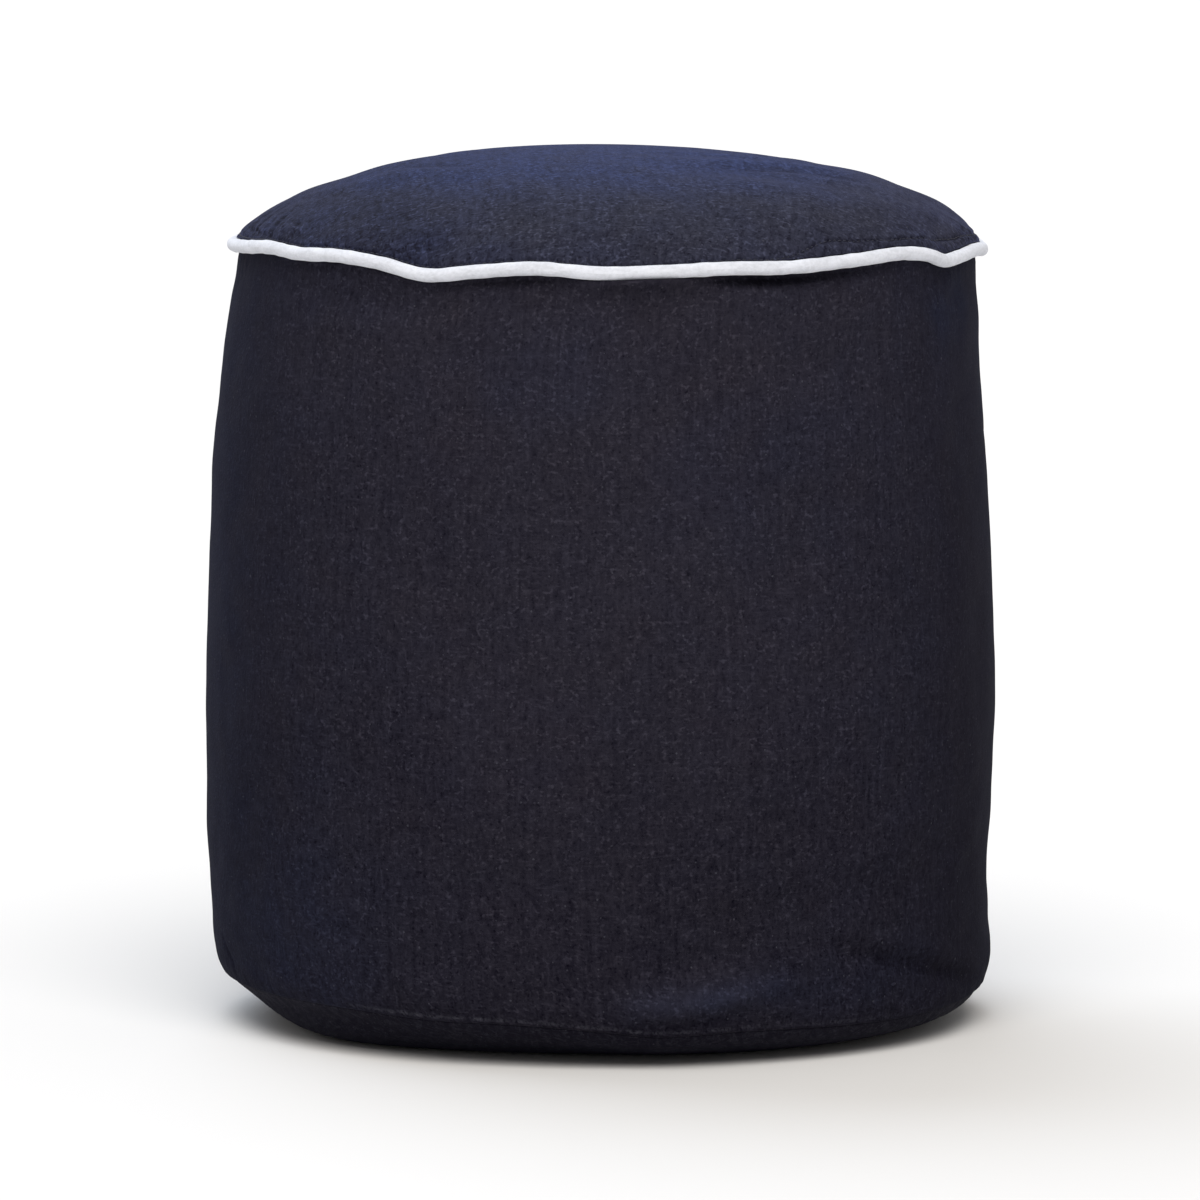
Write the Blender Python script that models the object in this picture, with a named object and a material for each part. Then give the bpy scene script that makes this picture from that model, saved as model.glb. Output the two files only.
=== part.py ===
"""Round bean bag seat in dark blue denim, with white cord sewn into its top seam.

A filled side wall stands on a round base panel and carries a crowned top panel.
Every piece is first turned as if the bag were a perfect drum. One smooth movement,
settle, then shifts the points of all pieces alike, so that the seams wave, the wall
folds and the bag leans as a filled bag does, and no piece runs into its neighbour.

Metres, +Z up, -Y is the front. The origin is on the floor, under the bag's middle.
An azimuth is 0 at the front and grows towards +X. Heights are above the floor.
"""

import math

import bmesh
import bpy
import numpy as np

MM = 0.001

# Driving dimensions
FULL_RADIUS = 206 * MM
TOP_SEAM_HEIGHT = 403 * MM
BASE_SEAM_HEIGHT = 21.5 * MM
CROWN_RISE = 51.7 * MM
CORD_RADIUS = 3.65 * MM
CLOTH = 1.5 * MM
GAP = 0.3 * MM

# The cord's middle line runs outside the stitch line of the top seam
CORD_LINE_RADIUS = FULL_RADIUS - 11.7 * MM
TOP_PANEL_EDGE = CORD_LINE_RADIUS - 1.3 * MM
CORD_NEST = CORD_RADIUS + GAP + 0.05 * MM
CROWN_FULLNESS = 2.2
CROWN_SHOULDER = 0.62

# The base panel is flat on the floor and turns up to its seam under the wall
BASE_EDGE = FULL_RADIUS - 9.5 * MM
FOOT_RADIUS = 139 * MM
BASE_TURN = math.radians(66)
RIM_TUCK = 3.6 * MM

# Steps of the turned shapes
SEGMENTS = 64
CROWN_STEPS = 9
FOOT_STEPS = 2
BASE_TURN_STEPS = 6
WALL_STEPS = 28
CORD_BEVEL_RESOLUTION = 2

# Side wall, seen from the side: how far its radius falls short of the fullest one
WALL_PROFILE = [
    # height, shortfall
    (24 * MM, 6.6 * MM),
    (28 * MM, 4.9 * MM),
    (36 * MM, 3.6 * MM),
    (55 * MM, 2.9 * MM),
    (85 * MM, 2.0 * MM),
    (125 * MM, 0.7 * MM),
    (165 * MM, 0.0 * MM),
    (225 * MM, 1.5 * MM),
    (270 * MM, 3.6 * MM),
    (312 * MM, 6.5 * MM),
    (353 * MM, 9.9 * MM),
    (375 * MM, 12.1 * MM),
    (390 * MM, 14.0 * MM),
    (400.2 * MM, 14.8 * MM),
]

# Sideways shift of the bag's middle at each height
LEAN = [
    # height, shift towards +X
    (0 * MM, 5.6 * MM),
    (14 * MM, 3.8 * MM),
    (24 * MM, 1.8 * MM),
    (45 * MM, 0.2 * MM),
    (80 * MM, -0.8 * MM),
    (165 * MM, 0.0 * MM),
    (312 * MM, 0.0 * MM),
    (353 * MM, 0.6 * MM),
    (375 * MM, 1.8 * MM),
    (396 * MM, 3.2 * MM),
    (412 * MM, 4.4 * MM),
    (430 * MM, 6.6 * MM),
    (441 * MM, 5.2 * MM),
    (448 * MM, -0.6 * MM),
    (455 * MM, -5.0 * MM),
]

# How the top seam rises and dips round the bag
TOP_SEAM_WAVES = [
    # azimuth in degrees, rise
    (-160, 1.0 * MM),
    (-138, -1.6 * MM),
    (-115, 0.4 * MM),
    (-90, 1.2 * MM),
    (-72, 3.4 * MM),
    (-62, 5.1 * MM),
    (-54, 3.6 * MM),
    (-44, 4.0 * MM),
    (-36, 1.5 * MM),
    (-28, -3.4 * MM),
    (-20, -1.0 * MM),
    (-11, 1.2 * MM),
    (-1, -1.0 * MM),
    (8, -0.4 * MM),
    (18, 0.8 * MM),
    (27, 0.4 * MM),
    (40, 2.6 * MM),
    (51, 4.2 * MM),
    (57, 2.2 * MM),
    (62, -1.6 * MM),
    (67, -0.9 * MM),
    (75, 0.7 * MM),
    (90, -1.4 * MM),
    (112, 1.5 * MM),
    (136, -1.0 * MM),
    (160, 2.0 * MM),
    (180, 0.2 * MM),
]

# Turns in degrees over which the top seam's waves are evened out up the crown
EVENING = range(-20, 21, 4)

# How the base seam rises and dips round the bag
BASE_SEAM_WAVES = [
    # azimuth in degrees, rise
    (-150, 1.5 * MM),
    (-120, -1.0 * MM),
    (-90, 1.6 * MM),
    (-60, 2.8 * MM),
    (-40, 2.6 * MM),
    (-26, 0.9 * MM),
    (-13, 0.7 * MM),
    (0, -2.4 * MM),
    (7, -4.8 * MM),
    (20, -3.7 * MM),
    (40, -5.0 * MM),
    (50, -5.4 * MM),
    (90, -2.1 * MM),
    (125, 1.0 * MM),
    (155, -1.8 * MM),
    (180, 0.5 * MM),
]

# How much further than its mean radius the flat foot reaches
FOOT_REACH = [
    # azimuth in degrees, reach
    (-120, 0 * MM),
    (-80, 4 * MM),
    (-52, 15 * MM),
    (-28, 1 * MM),
    (-8, -6 * MM),
    (15, -1 * MM),
    (40, 3 * MM),
    (75, 0 * MM),
    (120, -5 * MM),
    (175, 3 * MM),
]

# Soft ridges (rise above zero) and troughs (below zero) of the wall
WALL_FOLDS = [
    # azimuth, height, half length, half width, rise, climb per metre of length
    (-38, 389 * MM, 85 * MM, 8 * MM, -1.5 * MM, 0.0),
    (-34, 372 * MM, 75 * MM, 9 * MM, 1.5 * MM, 0.02),
    (36, 385 * MM, 40 * MM, 8 * MM, 0.9 * MM, 0.0),
    (37, 359 * MM, 34 * MM, 9 * MM, -1.3 * MM, 0.15),
    (74, 372 * MM, 60 * MM, 12 * MM, 0.9 * MM, -0.1),
    (36, 103 * MM, 80 * MM, 12 * MM, 1.3 * MM, 0.17),
    (32, 82 * MM, 80 * MM, 10 * MM, -1.2 * MM, 0.12),
    (16, 60 * MM, 45 * MM, 8 * MM, -1.5 * MM, 0.2),
    (55, 46 * MM, 70 * MM, 8 * MM, -2.0 * MM, -0.22),
    (14, 40 * MM, 38 * MM, 13 * MM, 3.2 * MM, 0.0),
    (-22, 36 * MM, 30 * MM, 10 * MM, 1.2 * MM, -0.1),
    (-62, 40 * MM, 55 * MM, 13 * MM, -1.6 * MM, 0.1),
    (-96, 300 * MM, 70 * MM, 22 * MM, 1.0 * MM, -0.1),
    (98, 80 * MM, 60 * MM, 16 * MM, -1.6 * MM, -0.1),
    (92, 38 * MM, 45 * MM, 9 * MM, 1.2 * MM, 0.0),
    (135, 375 * MM, 80 * MM, 10 * MM, -1.4 * MM, 0.05),
    (142, 60 * MM, 80 * MM, 12 * MM, -1.8 * MM, 0.15),
    (172, 370 * MM, 60 * MM, 10 * MM, 1.3 * MM, -0.05),
    (-128, 378 * MM, 80 * MM, 9 * MM, -1.4 * MM, -0.05),
    (-142, 90 * MM, 90 * MM, 14 * MM, 1.5 * MM, -0.12),
    (-120, 50 * MM, 60 * MM, 9 * MM, -1.8 * MM, 0.12),
]

# Soft creases of the crown, between two points seen from above
CROWN_FOLDS = [
    # x, y of one end, x, y of the other, half width, rise
    (42 * MM, -62 * MM, 128 * MM, -34 * MM, 11 * MM, 1.4 * MM),
    (46 * MM, -90 * MM, 126 * MM, -72 * MM, 12 * MM, -1.1 * MM),
    (-150 * MM, -50 * MM, -70 * MM, -78 * MM, 12 * MM, 1.3 * MM),
    (-60 * MM, 70 * MM, 40 * MM, 110 * MM, 15 * MM, -1.6 * MM),
    (95 * MM, 60 * MM, 130 * MM, 110 * MM, 13 * MM, 1.3 * MM),
    (-140 * MM, 60 * MM, -90 * MM, 20 * MM, 16 * MM, -0.6 * MM),
]


def ramp(value, low, high):
    """0 below low, 1 above high, and an even S between them."""
    t = np.clip((value - low) / (high - low), 0, 1)
    return t * t * (3 - 2 * t)


def curve_through(knots, at):
    """Cubic pieces through (place, value) knots, each as steep as its two neighbours make it."""
    place, value = np.array(knots, float).T
    slope = np.gradient(value, place)
    i = np.clip(np.searchsorted(place, at) - 1, 0, len(place) - 2)
    step = place[i + 1] - place[i]
    t = np.clip((at - place[i]) / step, 0, 1)
    start = (1 + 2 * t) * (1 - t) ** 2 * value[i] + t * (1 - t) ** 2 * step * slope[i]
    end = t * t * (3 - 2 * t) * value[i + 1] + t * t * (t - 1) * step * slope[i + 1]
    return start + end


def round_the_bag(waves, azimuth):
    """The same curve for a table of azimuths in degrees, closed on itself."""
    last, first = waves[-1], waves[0]
    closed = [(last[0] - 360, last[1]), *waves, (first[0] + 360, first[1])]
    return curve_through(closed, azimuth)


def turn_from(azimuth, middle):
    """Degrees from the middle to the azimuth, from -180 to 180."""
    return (azimuth - middle + 180) % 360 - 180


def wall_folds(azimuth, height):
    """How far the folds push the wall out. Each is a bell across and a flat-topped bell along."""
    out = np.zeros_like(height)
    for middle, level, half_length, half_width, rise, climb in WALL_FOLDS:
        along = np.radians(turn_from(azimuth, middle)) * FULL_RADIUS
        across = height - level - climb * along
        out += rise * np.exp(-((along / half_length) ** 4) - (across / half_width) ** 2)
    return out


def crown_folds(x, y):
    """How far the creases lift the crown. Each is a bell across the line between its ends."""
    up = np.zeros_like(x)
    for x0, y0, x1, y1, half_width, rise in CROWN_FOLDS:
        length = math.hypot(x1 - x0, y1 - y0)
        cos, sin = (x1 - x0) / length, (y1 - y0) / length
        along = (x - x0) * cos + (y - y0) * sin
        across = (y - y0) * cos - (x - x0) * sin
        middle = (2 * along / length - 1) ** 4
        up += rise * np.exp(-middle - (across / half_width) ** 2)
    return up


def settle(points):
    """Moves points of the perfect drum to where they lie in the filled bag. Up the crown the
    top seam's waves give way to their mean over a wide turn, so that no kink runs inwards."""
    x, y, z = points.T
    radius = np.hypot(x, y)
    azimuth = np.degrees(np.arctan2(x, -y))
    near_wall = ramp(radius, 120 * MM, 180 * MM)
    near_edge = ramp(radius, 60 * MM, 182 * MM)
    below_seam = ramp(TOP_SEAM_HEIGHT - z, 6 * MM, 20 * MM)
    off_floor = ramp(z, 2 * MM, 22 * MM)
    foot_rim = ramp(radius, 60 * MM, FOOT_RADIUS) * (1 - ramp(z, 0, 16 * MM))
    folded = (
        radius
        + wall_folds(azimuth, z) * near_wall * below_seam * off_floor
        + round_the_bag(FOOT_REACH, azimuth) * foot_rim
    )
    top_share = ramp(z, TOP_SEAM_HEIGHT - 120 * MM, TOP_SEAM_HEIGHT - 8 * MM) * near_edge
    base_share = ramp(z, 0, 18 * MM) * (1 - ramp(z, 30 * MM, 120 * MM)) * near_edge
    on_crown = ramp(z, TOP_SEAM_HEIGHT, TOP_SEAM_HEIGHT + 20 * MM)
    evened = ramp(z, TOP_SEAM_HEIGHT + 4 * MM, TOP_SEAM_HEIGHT + 24 * MM)
    sharp = round_the_bag(TOP_SEAM_WAVES, azimuth)
    near = [round_the_bag(TOP_SEAM_WAVES, turn_from(azimuth, aside)) for aside in EVENING]
    smooth = sum(near) / len(near)
    raised = (
        z
        + top_share * (sharp + evened * (smooth - sharp))
        + base_share * round_the_bag(BASE_SEAM_WAVES, azimuth)
        + on_crown * crown_folds(x, y)
    )
    turn = np.radians(azimuth)
    moved_x = folded * np.sin(turn) + curve_through(LEAN, z)
    return np.column_stack([moved_x, -folded * np.cos(turn), raised])


def inset(outline, depth):
    """The outline, (radius, height) points run from the axis outwards, moved towards its right."""
    run = np.gradient(outline, axis=0, edge_order=2)
    run[0] = (1, 0)
    run /= np.linalg.norm(run, axis=1)[:, None]
    return outline + depth * np.column_stack([run[:, 1], -run[:, 0]])


def crown_outline():
    """The outer face of the top panel, from the axis to the edge that lies on the cord."""
    turn = np.linspace(0, math.pi / 2, CROWN_STEPS + 1)
    radius = TOP_PANEL_EDGE * np.sin(turn)
    share = 1 - (radius / CORD_LINE_RADIUS) ** CROWN_FULLNESS
    return np.column_stack(
        [radius, TOP_SEAM_HEIGHT + CROWN_RISE * share**CROWN_SHOULDER]
    )


def base_outline():
    """The outer face of the base panel, from the axis over the flat foot to its seam."""
    flat = [(FOOT_RADIUS * k / FOOT_STEPS, 0) for k in range(FOOT_STEPS)]
    turn = np.linspace(0, BASE_TURN, BASE_TURN_STEPS + 1)
    out = np.sin(turn) / math.sin(BASE_TURN)
    up = (1 - np.cos(turn)) / (1 - math.cos(BASE_TURN))
    radius = FOOT_RADIUS + (BASE_EDGE - FOOT_RADIUS) * out
    return np.vstack([flat, np.column_stack([radius, BASE_SEAM_HEIGHT * up])])


def cord_groove():
    """The hollow behind the cord, an arc round the cord's middle line, from top to bottom."""
    turn = np.radians([157, 180, 203])
    return np.column_stack(
        [
            CORD_LINE_RADIUS + CORD_NEST * np.cos(turn),
            TOP_SEAM_HEIGHT + CORD_NEST * np.sin(turn),
        ]
    )


def wall_outline():
    """The outer face of the side wall, from under the cord down to the rim over the base seam.
    Its steps are closer near both seams."""
    top, bottom = WALL_PROFILE[-1][0], WALL_PROFILE[0][0]
    way = np.linspace(0, 1, WALL_STEPS + 1)
    eased = 0.55 * way + 0.45 * (1 - np.cos(math.pi * way)) / 2
    height = top + (bottom - top) * eased
    return np.column_stack([FULL_RADIUS - curve_through(WALL_PROFILE, height), height])


def rim_outline(base):
    """The wall's lower edge, tucked in to just off the cut edge of the base panel."""
    run = (base[-1] - base[-2]) / np.linalg.norm(base[-1] - base[-2])
    edge = base[-1] + GAP * run
    outer = FULL_RADIUS - WALL_PROFILE[0][1]
    return np.array([(outer - 0.4 * RIM_TUCK, edge[1] + 0.5 * MM), edge])


def turned(name, outline, material):
    """A closed piece: the outline, whose ends lie on the axis, turned about +Z and settled."""
    shape = bmesh.new()
    points = [shape.verts.new((radius, 0, height)) for radius, height in outline]
    # Each line runs outwards, so that facing sheets split their four-sided faces alike
    outwards = [sorted(pair, key=lambda p: p.co.x) for pair in zip(points, points[1:])]
    lines = [shape.edges.new(pair) for pair in outwards]
    bmesh.ops.spin(
        shape,
        geom=points + lines,
        cent=(0, 0, 0),
        axis=(0, 0, 1),
        angle=2 * math.pi,
        steps=SEGMENTS,
        use_merge=True,
    )
    bmesh.ops.remove_doubles(shape, verts=shape.verts, dist=0.001 * MM)
    bmesh.ops.recalc_face_normals(shape, faces=shape.faces)
    mesh = bpy.data.meshes.new(name)
    shape.to_mesh(mesh)
    shape.free()
    drum = np.empty(len(mesh.vertices) * 3)
    mesh.vertices.foreach_get("co", drum)
    mesh.vertices.foreach_set("co", settle(drum.reshape(-1, 3)).ravel())
    mesh.shade_smooth()
    mesh.set_sharp_from_angle(angle=math.radians(50))
    return placed(name, mesh, material)


def cord_ring(name, material):
    """The cord, a closed tube along the settled line of the top seam."""
    turn = np.arange(SEGMENTS) * 2 * math.pi / SEGMENTS
    circle = np.column_stack(
        [
            CORD_LINE_RADIUS * np.cos(turn),
            CORD_LINE_RADIUS * np.sin(turn),
            np.full(SEGMENTS, TOP_SEAM_HEIGHT),
        ]
    )
    line = bpy.data.curves.new(name, "CURVE")
    line.dimensions = "3D"
    line.twist_mode = "Z_UP"
    line.bevel_depth = CORD_RADIUS
    line.bevel_resolution = CORD_BEVEL_RESOLUTION
    spline = line.splines.new("POLY")
    spline.points.add(SEGMENTS - 1)
    for point, place in zip(spline.points, settle(circle)):
        point.co = (*place, 1)
    spline.use_cyclic_u = True
    spline.use_smooth = True
    return placed(name, line, material)


def placed(name, data, material):
    """An object of that data in the bag's collection."""
    piece = bpy.data.objects.new(name, data)
    data.materials.append(material)
    bpy.data.collections[BAG].objects.link(piece)
    return piece


def cloth_material(name, colour, roughness, sheen):
    """Plain cloth: its colour, how matt it is and how much fuzz catches the light."""
    material = bpy.data.materials.new(name)
    material.use_nodes = True
    shader = material.node_tree.nodes["Principled BSDF"]
    shader.inputs["Base Color"].default_value = (*colour, 1)
    shader.inputs["Roughness"].default_value = roughness
    shader.inputs["Metallic"].default_value = 0
    shader.inputs["Sheen Weight"].default_value = sheen
    return material


BAG = "bean_bag"


def main():
    for old in list(bpy.data.objects):
        bpy.data.objects.remove(old)
    bpy.context.scene.collection.children.link(bpy.data.collections.new(BAG))
    denim = cloth_material("indigo_denim", (0.017, 0.017, 0.026), 0.9, 0.3)
    cotton = cloth_material("white_cotton", (0.74, 0.75, 0.78), 0.85, 0.1)

    crown = crown_outline()
    base = base_outline()
    under_crown = inset(crown, CLOTH + GAP)
    over_base = inset(base, -CLOTH - GAP)

    wall = np.vstack([cord_groove(), wall_outline(), rim_outline(base)])
    filled = np.vstack([under_crown, wall, over_base[::-1]])
    turned("side_wall", filled, denim)
    turned("top_panel", np.vstack([crown, inset(crown, CLOTH)[::-1]]), denim)
    turned("base_panel", np.vstack([inset(base, -CLOTH), base[::-1]]), denim)
    cord_ring("top_piping", cotton)


main()
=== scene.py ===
"""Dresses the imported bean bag: heathered denim panels, white piping, stitches, floor, light and camera.

Every cloth surface is a grid of points, rows down the bag by columns round it. A grid is
first laid out on the drum that the bag would be if it were perfect, then settled with the
same waves, folds and lean as the solids, and last given its finer puckers along its normals.

Metres, +Z up, -Y is the front. An azimuth is 0 at the front and grows towards +X.
"""

import math

import bpy
import numpy as np
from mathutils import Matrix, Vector


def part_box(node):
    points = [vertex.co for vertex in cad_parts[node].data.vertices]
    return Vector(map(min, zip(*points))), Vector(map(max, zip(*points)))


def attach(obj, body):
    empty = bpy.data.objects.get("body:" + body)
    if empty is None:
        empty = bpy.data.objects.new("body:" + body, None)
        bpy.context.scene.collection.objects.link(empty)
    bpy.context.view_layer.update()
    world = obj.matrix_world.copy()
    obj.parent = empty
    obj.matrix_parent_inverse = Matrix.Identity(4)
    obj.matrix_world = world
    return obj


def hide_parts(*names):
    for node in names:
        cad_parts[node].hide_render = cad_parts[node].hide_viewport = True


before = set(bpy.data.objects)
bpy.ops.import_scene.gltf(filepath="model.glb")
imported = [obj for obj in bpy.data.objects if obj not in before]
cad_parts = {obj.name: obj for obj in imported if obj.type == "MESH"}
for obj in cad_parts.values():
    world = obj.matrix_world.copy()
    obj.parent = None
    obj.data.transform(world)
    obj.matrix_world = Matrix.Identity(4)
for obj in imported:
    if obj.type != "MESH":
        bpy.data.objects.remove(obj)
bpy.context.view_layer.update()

bl_info = {
    "name": "Bean Bag",
    "version": (1, 0, 0),
    "blender": (4, 5, 0),
    "location": "View3D > Sidebar > Bean Bag",
    "description": "Sews a round denim bean bag with a piped top seam",
    "category": "Object",
}

MM = 0.001

# Sizes read from the parts imported from model.glb
WALL_LOW, WALL_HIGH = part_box("side_wall")
CORD_LOW, CORD_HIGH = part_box("top_piping")
FULL_RADIUS = (WALL_HIGH.y - WALL_LOW.y) / 2
TOP_OF_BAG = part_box("top_panel")[1].z

# Places of the seams on the perfect drum
TOP_SEAM_HEIGHT = 403 * MM
BASE_SEAM_HEIGHT = 21.5 * MM
WORN_HEIGHT = BASE_SEAM_HEIGHT + 2.6 * MM
CORD_RADIUS = 3.65 * MM
CORD_LINE_RADIUS = (CORD_HIGH.y - CORD_LOW.y) / 2 - CORD_RADIUS
CROWN_RISE = TOP_OF_BAG - TOP_SEAM_HEIGHT
CROWN_FULLNESS = 2.2
CROWN_SHOULDER = 0.62
TOP_PANEL_EDGE = CORD_LINE_RADIUS - 1.3 * MM
CORD_NEST = CORD_RADIUS + 0.35 * MM
BASE_EDGE = FULL_RADIUS - 9.5 * MM
FOOT_RADIUS = 139 * MM
BASE_TURN = math.radians(66)
CLOTH = 1.5 * MM
GAP = 0.3 * MM

# Mean of the denim's summed marks, which is taken off them so that they only vary it
MEAN_MARKS = 1.38

# Pitch of the denim's slanted wales and of the piping's plain weave
WALE = 0.9 * MM
COTTON_PITCH = 0.55 * MM

# The trial cloth that the filling blows out before the wall takes its folds
TRIAL_COLUMNS = 300
TRIAL_ROWS = 92
TRIAL_FRAMES = 20
TRIAL_CLOTH = {
    "quality": 6,
    "mass": 0.25,
    "tension_stiffness": 20,
    "compression_stiffness": 20,
    "shear_stiffness": 8,
    "bending_stiffness": 0.6,
    "vertex_group_mass": "held",
    "use_pressure": True,
    "uniform_pressure_force": 4,
    "shrink_min": -0.02,
}
MOST_MOVEMENT = 5 * MM
WIDEST_FOLD = 90 * MM

# Grid of the cloth: columns round the bag and rows down each part of it
COLUMNS = 600
HIDDEN_CROWN_ROWS = 9
GROOVE_ROWS = 7
WALL_ROWS = 122
RIM_ROWS = 4
HIDDEN_BASE_ROWS = 7
CROWN_COLUMNS = 960
CROWN_ROWS = 84
BASE_ROWS = 46
CORD_COLUMNS = 900
CORD_SIDES = 20

# Mean distance between rows, for the fields of soft unevenness
WALL_ROW_STEP = 3.1 * MM
CROWN_ROW_STEP = 2.6 * MM

# Azimuth of the middle of the piping's lapped join
JOIN = -177

# The tables below are in degrees and millimetres. In those of folds the climb is how much a fold
# rises for each length that it runs.

# Side wall, seen from the side: how far its radius falls short of the fullest one
WALL_PROFILE = [
    # height, shortfall
    (24, 6.6), (28, 4.9), (36, 3.6), (55, 2.9), (85, 2), (125, 0.7), (165, 0), (225, 1.5),
    (270, 3.6), (312, 6.5), (353, 9.9), (375, 12.1), (390, 14), (400.2, 14.8),
]

# Sideways shift of the bag's middle at each height
LEAN = [
    # height, shift towards +X
    (0, 5.6), (14, 3.8), (24, 1.8), (45, 0.2), (80, -0.8), (165, 0), (312, 0), (353, 0.6),
    (375, 1.8), (396, 3.2), (412, 4.4), (430, 6.6), (441, 5.2), (448, -0.6), (455, -5),
]

# How the top seam rises and dips round the bag
TOP_SEAM_WAVES = [
    # azimuth in degrees, rise
    (-160, 1), (-138, -1.6), (-115, 0.4), (-90, 1.2), (-72, 3.4), (-62, 5.1), (-54, 3.6),
    (-44, 4), (-36, 1.5), (-28, -3.4), (-20, -1), (-11, 1.2), (-1, -1), (8, -0.4),
    (18, 0.8), (27, 0.4), (40, 2.6), (51, 4.2), (57, 2.2), (62, -1.6), (67, -0.9), (75, 0.7),
    (90, -1.4), (112, 1.5), (136, -1), (160, 2), (180, 0.2),
]

# Turns in degrees over which the top seam's waves are evened out up the crown
EVENING = range(-20, 21, 4)

# How the base seam rises and dips round the bag
BASE_SEAM_WAVES = [
    # azimuth in degrees, rise
    (-150, 1.5), (-120, -1), (-90, 1.6), (-60, 2.8), (-40, 2.6), (-26, 0.9), (-13, 0.7),
    (0, -2.4), (7, -4.8), (20, -3.7), (40, -5), (50, -5.4), (90, -2.1), (125, 1),
    (155, -1.8), (180, 0.5),
]

# How much further than its mean radius the flat foot reaches
FOOT_REACH = [
    # azimuth in degrees, reach
    (-120, 0), (-80, 4), (-52, 15), (-28, 1), (-8, -6), (15, -1), (40, 3), (75, 0), (120, -5),
    (175, 3),
]

# Soft ridges (rise above zero) and troughs (below zero) of the wall
WALL_FOLDS = [
    # azimuth, height, half length, half width, rise, climb per length
    (-38, 389, 85, 8, -1.5, 0),
    (-34, 372, 75, 9, 1.5, 0.02),
    (36, 385, 40, 8, 0.9, 0),
    (37, 359, 34, 9, -1.3, 0.15),
    (74, 372, 60, 12, 0.9, -0.1),
    (36, 103, 80, 12, 1.3, 0.17),
    (32, 82, 80, 10, -1.2, 0.12),
    (16, 60, 45, 8, -1.5, 0.2),
    (55, 46, 70, 8, -2, -0.22),
    (14, 40, 38, 13, 3.2, 0),
    (-22, 36, 30, 10, 1.2, -0.1),
    (-62, 40, 55, 13, -1.6, 0.1),
    (-96, 300, 70, 22, 1, -0.1),
    (98, 80, 60, 16, -1.6, -0.1),
    (92, 38, 45, 9, 1.2, 0),
    (135, 375, 80, 10, -1.4, 0.05),
    (142, 60, 80, 12, -1.8, 0.15),
    (172, 370, 60, 10, 1.3, -0.05),
    (-128, 378, 80, 9, -1.4, -0.05),
    (-142, 90, 90, 14, 1.5, -0.12),
    (-120, 50, 60, 9, -1.8, 0.12),
]

# Soft creases of the crown, between two points seen from above
CROWN_FOLDS = [
    # x, y of one end, x, y of the other, half width, rise
    (42, -62, 128, -34, 11, 1.4),
    (46, -90, 126, -72, 12, -1.1),
    (-150, -50, -70, -78, 12, 1.3),
    (-60, 70, 40, 110, 15, -1.6),
    (95, 60, 130, 110, 13, 1.3),
    (-140, 60, -90, 20, 16, -0.6),
]

# Finer creases of the crown, too narrow for the solids
FINE_CROWN_FOLDS = [
    # x, y of one end, x, y of the other, half width, rise
    (30, -30, 120, -16, 5, 1),
    (52, -62, 138, -32, 4, 1.1),
    (58, -74, 132, -50, 4, -0.9),
    (84, -76, 148, -54, 4, 0.7),
    (-106, -36, -64, -68, 4.5, -0.8),
    (-112, -48, -78, -78, 4.5, 0.5),
    (-168, -30, -120, -86, 5, -0.6),
    (20, 96, 110, 84, 5, -0.7),
    (-104, 98, -30, 120, 5, 0.6),
]

# Nips where the crown gathers into the top seam, measured up the crown from its edge
CROWN_NIPS = [
    # azimuth, distance from the edge, half length, half width, rise, climb per length
    (-72, 4.6, 34, 1.7, -1.5, -0.09),
    (-60, 8.8, 10, 2.2, 1.2, 0),
    (70, 13, 16, 2.4, 0.6, 0.12),
    (79, 11, 12, 2, -0.7, 0.3),
    (88, 8, 9, 1.8, 0.6, -0.3),
    (54, 13.5, 15, 2.4, -0.5, -0.1),
    (128, 8, 14, 2.2, -0.7, 0.3),
    (-140, 9, 16, 2.4, -0.7, -0.25),
    (171, 8, 12, 2.2, 0.6, 0.3),
]

# Folds that run up the crown from its gathered edge
CROWN_TUCKS = [
    # azimuth, distance from the edge, half length, half width, rise
    (-57, 8, 10, 1.8, -0.9),
    (-60.5, 9, 11, 2.2, 0.9),
    (-64, 10, 13, 2, -1.2),
    (-68, 11, 13, 2.4, 1.1),
    (-72.5, 11, 14, 2.2, -1.3),
    (-77, 12, 14, 2.6, 1.1),
    (-83, 12, 14, 2.6, -1.1),
    (76, 9, 9, 2.2, -0.6),
    (82, 9, 9, 2.6, 0.6),
    (151, 9, 10, 2.4, -0.7),
    (-118, 9, 10, 2.4, 0.7),
]

# Fine creases of the wall, too narrow for the solids
FINE_CREASES = [
    # azimuth, height, half length, half width, rise, climb per length
    (12.5, 38, 36, 6, 2.2, 0.10),
    (10.5, 27, 34, 3.5, -1.2, 0.06),
    (52, 48, 66, 3.5, -1.1, -0.21),
    (54, 57, 60, 4.5, 0.9, -0.20),
    (30, 352, 16, 2.2, -0.5, 0.05),
    (58, 349, 22, 2.6, -0.6, 0.45),
    (34, 345, 12, 2, 0.4, -0.1),
    (60, 90, 40, 3, 0.5, 0.3),
    (23, 158, 26, 2.4, 0.4, 0.12),
    (-73, 34, 9, 3, -0.9, -1.4),
    (-78, 386, 14, 2.4, -0.5, 0.4),
    (-56, 381, 18, 2.6, 0.4, -0.3),
    (70, 330, 24, 3.5, -0.5, 0.3),
    (82, 300, 30, 4, -0.5, 0.4),
    (118, 340, 30, 3, -0.6, 0.2),
    (-110, 80, 34, 3, -0.6, 0.25),
    (165, 110, 30, 3, 0.5, -0.2),
    (-165, 352, 26, 2.6, -0.5, 0.1),
]

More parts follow.
